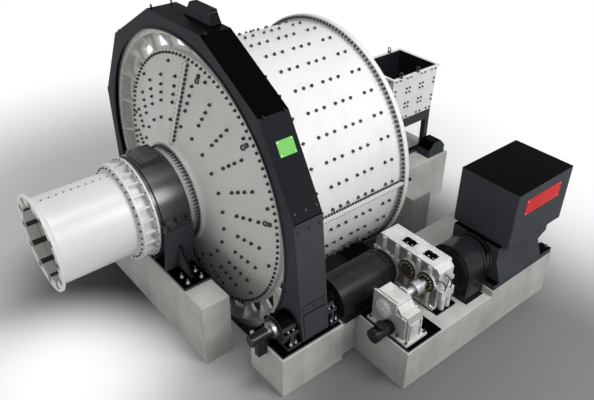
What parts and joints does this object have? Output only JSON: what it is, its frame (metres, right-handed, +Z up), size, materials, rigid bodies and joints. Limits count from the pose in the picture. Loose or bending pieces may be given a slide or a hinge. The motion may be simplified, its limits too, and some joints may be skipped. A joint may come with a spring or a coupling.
{
  "type": "ball mill",
  "caption": "Overflow ball mill: bolted drum on trunnion bearings, ring gear in a many-sided guard, pinion drive with gearbox, inching unit and motor on concrete piers, and a feed hopper.",
  "frame": {"origin": "on the base plane, under the mill axis, at the middle of the discharge pier's foot", "axes": "+Z up, +Y along the mill axis from the discharge end to the feed end, +X to the drive side"},
  "size_m": [9.1348, 10.831, 7.505],
  "materials": {
    "concrete": "cast concrete, matte",
    "white_paint": "satin off-white paint",
    "black_paint": "satin charcoal paint",
    "case_paint": "satin pale paint on castings",
    "gear_steel": "machined teeth, greased",
    "shaft_steel": "turned steel"
  },
  "bodies": {
    "foundation": {"discharge_pier": "concrete", "feed_pier": "concrete", "chute_pier": "concrete", "pinion_pier": "concrete", "drive_pier": "concrete", "discharge_bearing_base": "black_paint", "discharge_bearing_cap": "black_paint", "feed_bearing_base": "black_paint", "feed_bearing_cap": "black_paint", "guard_front_left": "black_paint", "guard_front_top": "black_paint", "guard_front_right": "black_paint", "guard_rear_left": "black_paint", "guard_rear_top": "black_paint", "guard_rear_right": "black_paint", "guard_rim_left": "black_paint", "guard_rim_top": "black_paint", "guard_rim_right": "black_paint", "guard_hatch": "black_paint", "pinion_soleplate": "black_paint", "pinion_bearing_front": "black_paint", "pinion_bearing_rear": "black_paint", "pinion_cover_panel": "black_paint", "pinion_end_cover": "black_paint", "coupling_guard": "black_paint", "gearbox_baseplate": "black_paint", "gearbox_lower_case": "case_paint", "gearbox_upper_case": "case_paint", "gearbox_oil_unit": "case_paint", "inching_baseplate": "black_paint", "inching_gearbox": "case_paint", "inching_motor": "black_paint", "motor_coupling_guard": "black_paint", "motor_base": "black_paint", "motor_body": "black_paint", "motor_hood": "black_paint", "feed_hopper": "white_paint", "feed_boot": "black_paint", "feed_spout": "black_paint", "chute_frame": "black_paint", "chute_winch": "black_paint"},
    "drum": {"shell_upper": "white_paint", "shell_lower": "white_paint", "discharge_head_left": "white_paint", "discharge_head_right": "white_paint", "feed_head_left": "white_paint", "feed_head_right": "white_paint", "discharge_trunnion": "white_paint", "feed_trunnion": "white_paint", "spout_hub": "white_paint", "discharge_spout": "white_paint", "ring_gear_rim": "gear_steel", "ring_gear_web": "white_paint"},
    "pinion_line": {"pinion": "shaft_steel", "pinion_shaft_front": "shaft_steel", "pinion_shaft_rear": "shaft_steel", "pinion_coupling": "shaft_steel", "gearbox_output_shaft": "shaft_steel"},
    "input_line": {"inching_shaft": "shaft_steel", "motor_shaft": "shaft_steel"}
  },
  "joints": [
    {"name": "drum_spin", "type": "hinge", "parent": "foundation", "child": "drum", "pos_m": [0, 0, 3.6], "axis": [0, 1, 0], "continuous": true},
    {"name": "pinion_spin", "type": "hinge", "parent": "foundation", "child": "pinion_line", "pos_m": [3.52261, 0, 2.229], "axis": [0, 1, 0], "continuous": true},
    {"name": "input_spin", "type": "hinge", "parent": "foundation", "child": "input_line", "pos_m": [4.68001, 0, 2.56], "axis": [0, 1, 0], "continuous": true}
  ],
  "couplings": [
    {"joint": "pinion_spin", "follows": "drum_spin", "ratio": -10.455},
    {"joint": "input_spin", "follows": "drum_spin", "ratio": -62.727}
  ]
}
